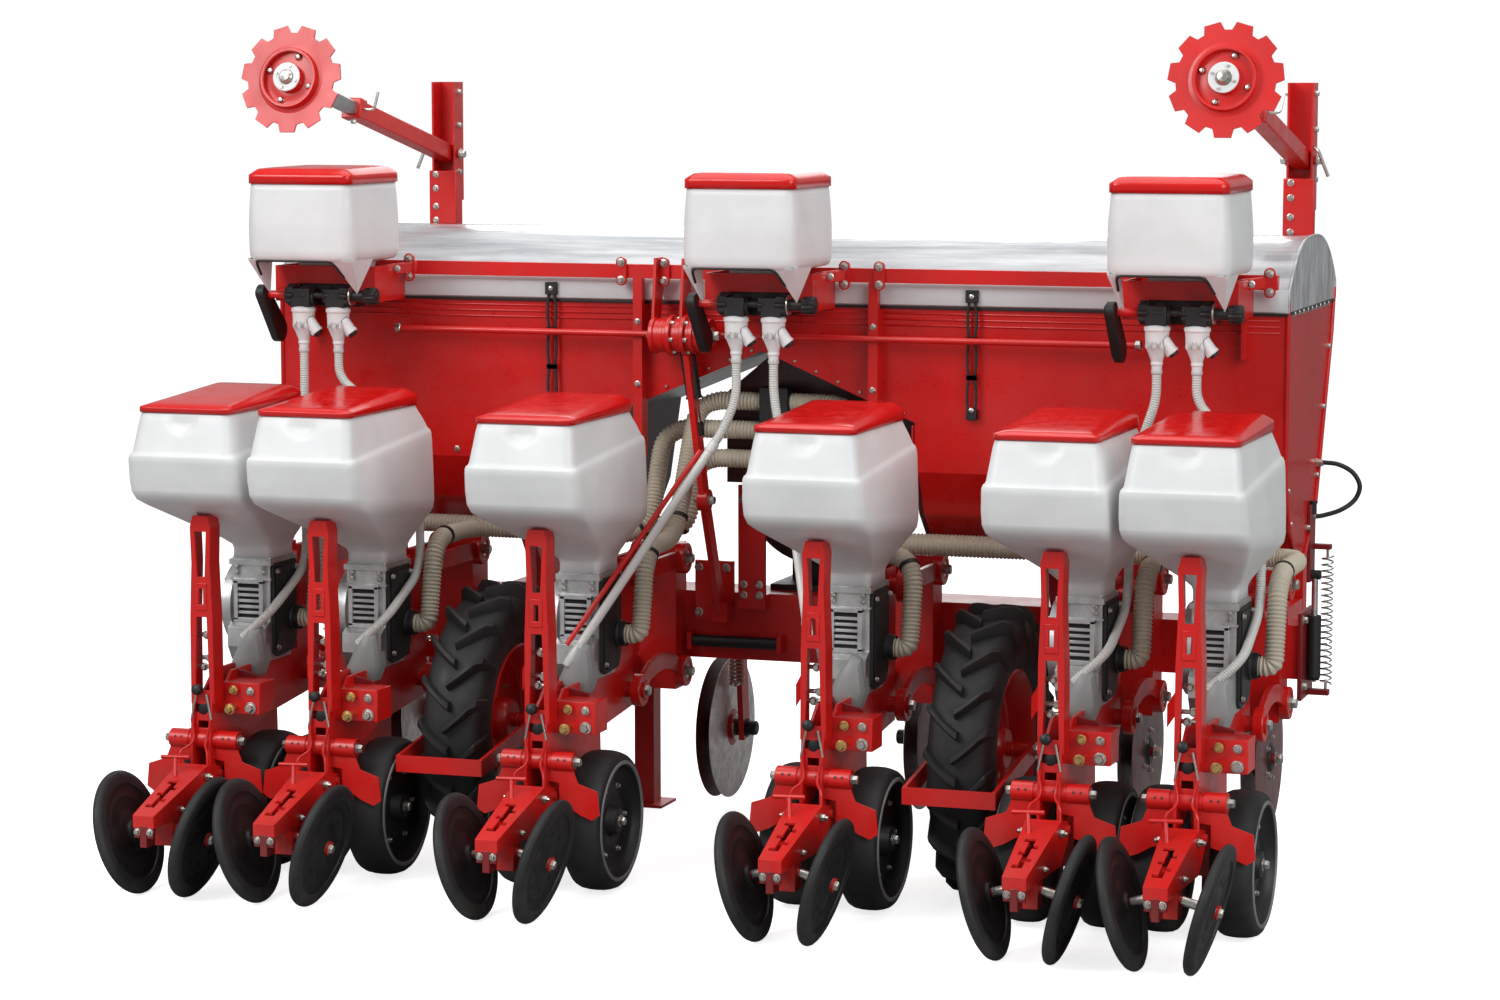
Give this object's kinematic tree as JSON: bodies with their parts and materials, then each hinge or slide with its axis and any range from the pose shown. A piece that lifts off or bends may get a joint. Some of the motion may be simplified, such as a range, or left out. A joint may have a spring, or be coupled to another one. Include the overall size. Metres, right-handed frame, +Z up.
{
  "type": "precision seeder",
  "caption": "Row-crop precision seeder: beam with seed hoppers, meters, press and gauge wheels, granule hoppers, fertilizer tank and folding markers.",
  "frame": {"origin": "centre of the footprint's bounding box, on the ground under the wheels", "axes": "+X to the machine's right, along its beam; +Y in its direction of travel; +Z up"},
  "size_m": [3.012, 2.068, 2.2725],
  "materials": {
    "red_paint": "satin",
    "red_lid": "gloss",
    "white_tank": "satin",
    "aluminium": "satin",
    "rubber": "matte",
    "tyre": "matte",
    "steel": "satin",
    "black_plastic": "matte",
    "cover_sheet": "satin",
    "hose_beige": "satin",
    "tube_clear": "gloss"
  },
  "bodies": {
    "machine": {"main_frame": "red_paint", "rail_frame": "red_paint", "fertilizer_tank": "red_paint", "tank_cover": "cover_sheet", "unit_frames": "red_paint", "closing_arms": "red_paint", "seed_hoppers": "white_tank", "seed_meters": "aluminium", "granule_hoppers": "white_tank", "granule_drives": "black_plastic", "granule_cups": "white_tank", "vacuum_fan": "red_paint", "vacuum_hoses": "hose_beige", "seed_tubes": "tube_clear"},
    "gauge_wheels_1": {"gauge_wheels_1": "rubber"},
    "press_wheel_1_left": {"press_wheel_1_left": "rubber"},
    "press_wheel_1_right": {"press_wheel_1_right": "rubber"},
    "seed_lid_1": {"seed_lid_1": "red_lid"},
    "coulter_disc_1": {"coulter_disc_1": "steel"},
    "gauge_wheels_2": {"gauge_wheels_2": "rubber"},
    "press_wheel_2_left": {"press_wheel_2_left": "rubber"},
    "press_wheel_2_right": {"press_wheel_2_right": "rubber"},
    "seed_lid_2": {"seed_lid_2": "red_lid"},
    "coulter_disc_2": {"coulter_disc_2": "steel"},
    "gauge_wheels_3": {"gauge_wheels_3": "rubber"},
    "press_wheel_3_left": {"press_wheel_3_left": "rubber"},
    "press_wheel_3_right": {"press_wheel_3_right": "rubber"},
    "seed_lid_3": {"seed_lid_3": "red_lid"},
    "coulter_disc_3": {"coulter_disc_3": "steel"},
    "gauge_wheels_4": {"gauge_wheels_4": "rubber"},
    "press_wheel_4_left": {"press_wheel_4_left": "rubber"},
    "press_wheel_4_right": {"press_wheel_4_right": "rubber"},
    "seed_lid_4": {"seed_lid_4": "red_lid"},
    "coulter_disc_4": {"coulter_disc_4": "steel"},
    "gauge_wheels_5": {"gauge_wheels_5": "rubber"},
    "press_wheel_5_left": {"press_wheel_5_left": "rubber"},
    "press_wheel_5_right": {"press_wheel_5_right": "rubber"},
    "seed_lid_5": {"seed_lid_5": "red_lid"},
    "coulter_disc_5": {"coulter_disc_5": "steel"},
    "gauge_wheels_6": {"gauge_wheels_6": "rubber"},
    "press_wheel_6_left": {"press_wheel_6_left": "rubber"},
    "press_wheel_6_right": {"press_wheel_6_right": "rubber"},
    "seed_lid_6": {"seed_lid_6": "red_lid"},
    "coulter_disc_6": {"coulter_disc_6": "steel"},
    "granule_lid_1": {"granule_lid_1": "red_lid"},
    "granule_lid_2": {"granule_lid_2": "red_lid"},
    "granule_lid_3": {"granule_lid_3": "red_lid"},
    "drive_wheel_left": {"drive_wheel_left": "tyre"},
    "marker_mast_left": {"marker_mast_left": "red_paint"},
    "marker_arm_left": {"marker_arm_left": "red_paint"},
    "marker_disc_left": {"marker_disc_left": "red_paint"},
    "parking_stand_left": {"parking_stand_left": "red_paint"},
    "drive_wheel_right": {"drive_wheel_right": "tyre"},
    "marker_mast_right": {"marker_mast_right": "red_paint"},
    "marker_arm_right": {"marker_arm_right": "red_paint"},
    "marker_disc_right": {"marker_disc_right": "red_paint"},
    "parking_stand_right": {"parking_stand_right": "red_paint"}
  },
  "joints": [
    {"name": "gauge_wheels_1_roll", "type": "hinge", "parent": "machine", "child": "gauge_wheels_1", "pos_m": [-1.335, -0.439, 0.185], "axis": [1, 0, 0], "continuous": true},
    {"name": "press_wheel_1_left_roll", "type": "hinge", "parent": "machine", "child": "press_wheel_1_left", "pos_m": [-1.442, -0.869, 0.15939], "axis": [0.9659, 0, 0.2588], "continuous": true},
    {"name": "press_wheel_1_right_roll", "type": "hinge", "parent": "machine", "child": "press_wheel_1_right", "pos_m": [-1.228, -0.869, 0.15939], "axis": [0.9659, 0, -0.2588], "continuous": true},
    {"name": "seed_lid_1_open", "type": "hinge", "parent": "machine", "child": "seed_lid_1", "pos_m": [-1.335, -0.252, 1.244], "axis": [-1, 0, 0], "range_deg": [0, 68]},
    {"name": "coulter_disc_1_roll", "type": "hinge", "parent": "machine", "child": "coulter_disc_1", "pos_m": [-1.25, 0.666, 0.248], "axis": [1, 0, 0], "continuous": true},
    {"name": "gauge_wheels_2_roll", "type": "hinge", "parent": "machine", "child": "gauge_wheels_2", "pos_m": [-0.991, -0.439, 0.185], "axis": [1, 0, 0], "continuous": true},
    {"name": "press_wheel_2_left_roll", "type": "hinge", "parent": "machine", "child": "press_wheel_2_left", "pos_m": [-1.098, -0.869, 0.15939], "axis": [0.9659, 0, 0.2588], "continuous": true},
    {"name": "press_wheel_2_right_roll", "type": "hinge", "parent": "machine", "child": "press_wheel_2_right", "pos_m": [-0.884, -0.869, 0.15939], "axis": [0.9659, 0, -0.2588], "continuous": true},
    {"name": "seed_lid_2_open", "type": "hinge", "parent": "machine", "child": "seed_lid_2", "pos_m": [-0.991, -0.252, 1.244], "axis": [-1, 0, 0], "range_deg": [0, 68]},
    {"name": "coulter_disc_2_roll", "type": "hinge", "parent": "machine", "child": "coulter_disc_2", "pos_m": [-0.906, 0.666, 0.248], "axis": [1, 0, 0], "continuous": true},
    {"name": "gauge_wheels_3_roll", "type": "hinge", "parent": "machine", "child": "gauge_wheels_3", "pos_m": [-0.375, -0.439, 0.185], "axis": [1, 0, 0], "continuous": true},
    {"name": "press_wheel_3_left_roll", "type": "hinge", "parent": "machine", "child": "press_wheel_3_left", "pos_m": [-0.482, -0.869, 0.15939], "axis": [0.9659, 0, 0.2588], "continuous": true},
    {"name": "press_wheel_3_right_roll", "type": "hinge", "parent": "machine", "child": "press_wheel_3_right", "pos_m": [-0.268, -0.869, 0.15939], "axis": [0.9659, 0, -0.2588], "continuous": true},
    {"name": "seed_lid_3_open", "type": "hinge", "parent": "machine", "child": "seed_lid_3", "pos_m": [-0.375, -0.252, 1.244], "axis": [-1, 0, 0], "range_deg": [0, 68]},
    {"name": "coulter_disc_3_roll", "type": "hinge", "parent": "machine", "child": "coulter_disc_3", "pos_m": [-0.29, 0.666, 0.248], "axis": [1, 0, 0], "continuous": true},
    {"name": "gauge_wheels_4_roll", "type": "hinge", "parent": "machine", "child": "gauge_wheels_4", "pos_m": [0.375, -0.439, 0.185], "axis": [1, 0, 0], "continuous": true},
    {"name": "press_wheel_4_left_roll", "type": "hinge", "parent": "machine", "child": "press_wheel_4_left", "pos_m": [0.268, -0.869, 0.15939], "axis": [0.9659, 0, 0.2588], "continuous": true},
    {"name": "press_wheel_4_right_roll", "type": "hinge", "parent": "machine", "child": "press_wheel_4_right", "pos_m": [0.482, -0.869, 0.15939], "axis": [0.9659, 0, -0.2588], "continuous": true},
    {"name": "seed_lid_4_open", "type": "hinge", "parent": "machine", "child": "seed_lid_4", "pos_m": [0.375, -0.252, 1.244], "axis": [-1, 0, 0], "range_deg": [0, 68]},
    {"name": "coulter_disc_4_roll", "type": "hinge", "parent": "machine", "child": "coulter_disc_4", "pos_m": [0.29, 0.666, 0.248], "axis": [1, 0, 0], "continuous": true},
    {"name": "gauge_wheels_5_roll", "type": "hinge", "parent": "machine", "child": "gauge_wheels_5", "pos_m": [0.991, -0.439, 0.185], "axis": [1, 0, 0], "continuous": true},
    {"name": "press_wheel_5_left_roll", "type": "hinge", "parent": "machine", "child": "press_wheel_5_left", "pos_m": [0.884, -0.869, 0.15939], "axis": [0.9659, 0, 0.2588], "continuous": true},
    {"name": "press_wheel_5_right_roll", "type": "hinge", "parent": "machine", "child": "press_wheel_5_right", "pos_m": [1.098, -0.869, 0.15939], "axis": [0.9659, 0, -0.2588], "continuous": true},
    {"name": "seed_lid_5_open", "type": "hinge", "parent": "machine", "child": "seed_lid_5", "pos_m": [0.991, -0.252, 1.244], "axis": [-1, 0, 0], "range_deg": [0, 68]},
    {"name": "coulter_disc_5_roll", "type": "hinge", "parent": "machine", "child": "coulter_disc_5", "pos_m": [0.906, 0.666, 0.248], "axis": [1, 0, 0], "continuous": true},
    {"name": "gauge_wheels_6_roll", "type": "hinge", "parent": "machine", "child": "gauge_wheels_6", "pos_m": [1.335, -0.439, 0.185], "axis": [1, 0, 0], "continuous": true},
    {"name": "press_wheel_6_left_roll", "type": "hinge", "parent": "machine", "child": "press_wheel_6_left", "pos_m": [1.228, -0.869, 0.15939], "axis": [0.9659, 0, 0.2588], "continuous": true},
    {"name": "press_wheel_6_right_roll", "type": "hinge", "parent": "machine", "child": "press_wheel_6_right", "pos_m": [1.442, -0.869, 0.15939], "axis": [0.9659, 0, -0.2588], "continuous": true},
    {"name": "seed_lid_6_open", "type": "hinge", "parent": "machine", "child": "seed_lid_6", "pos_m": [1.335, -0.252, 1.244], "axis": [-1, 0, 0], "range_deg": [0, 68]},
    {"name": "coulter_disc_6_roll", "type": "hinge", "parent": "machine", "child": "coulter_disc_6", "pos_m": [1.25, 0.666, 0.248], "axis": [1, 0, 0], "continuous": true},
    {"name": "granule_lid_1_open", "type": "hinge", "parent": "machine", "child": "granule_lid_1", "pos_m": [-1.195, 0.05, 1.833], "axis": [-1, 0, 0], "range_deg": [0, 22]},
    {"name": "granule_lid_2_open", "type": "hinge", "parent": "machine", "child": "granule_lid_2", "pos_m": [0.062, 0.05, 1.833], "axis": [-1, 0, 0], "range_deg": [0, 80]},
    {"name": "granule_lid_3_open", "type": "hinge", "parent": "machine", "child": "granule_lid_3", "pos_m": [1.195, 0.05, 1.833], "axis": [-1, 0, 0], "range_deg": [0, 22]},
    {"name": "drive_wheel_left_roll", "type": "hinge", "parent": "machine", "child": "drive_wheel_left", "pos_m": [-0.7, -0.124, 0.38], "axis": [1, 0, 0], "continuous": true},
    {"name": "marker_mast_left_tilt", "type": "hinge", "parent": "machine", "child": "marker_mast_left", "pos_m": [-1.3, 0.956, 0.64], "axis": [0, -1, 0], "range_deg": [0, 90]},
    {"name": "marker_arm_left_fold", "type": "hinge", "parent": "marker_mast_left", "child": "marker_arm_left", "pos_m": [-1.3, 0.956, 1.9], "axis": [-1, 0, 0], "range_deg": [0, 78.1]},
    {"name": "marker_disc_left_roll", "type": "hinge", "parent": "marker_arm_left", "child": "marker_disc_left", "pos_m": [-1.3, -0.119, 2.126], "axis": [0, -0.9786, 0.2057], "continuous": true},
    {"name": "parking_stand_left_swing", "type": "hinge", "parent": "machine", "child": "parking_stand_left", "pos_m": [-0.56, 0.686, 0.42], "axis": [1, 0, 0], "range_deg": [0, 90]},
    {"name": "drive_wheel_right_roll", "type": "hinge", "parent": "machine", "child": "drive_wheel_right", "pos_m": [0.7, -0.124, 0.38], "axis": [1, 0, 0], "continuous": true},
    {"name": "marker_mast_right_tilt", "type": "hinge", "parent": "machine", "child": "marker_mast_right", "pos_m": [1.3, 0.956, 0.64], "axis": [0, 1, 0], "range_deg": [0, 90]},
    {"name": "marker_arm_right_fold", "type": "hinge", "parent": "marker_mast_right", "child": "marker_arm_right", "pos_m": [1.3, 0.956, 1.9], "axis": [-1, 0, 0], "range_deg": [0, 78.1]},
    {"name": "marker_disc_right_roll", "type": "hinge", "parent": "marker_arm_right", "child": "marker_disc_right", "pos_m": [1.3, -0.119, 2.126], "axis": [0, -0.9786, 0.2057], "continuous": true},
    {"name": "parking_stand_right_swing", "type": "hinge", "parent": "machine", "child": "parking_stand_right", "pos_m": [0.56, 0.686, 0.42], "axis": [1, 0, 0], "range_deg": [0, 90]}
  ]
}
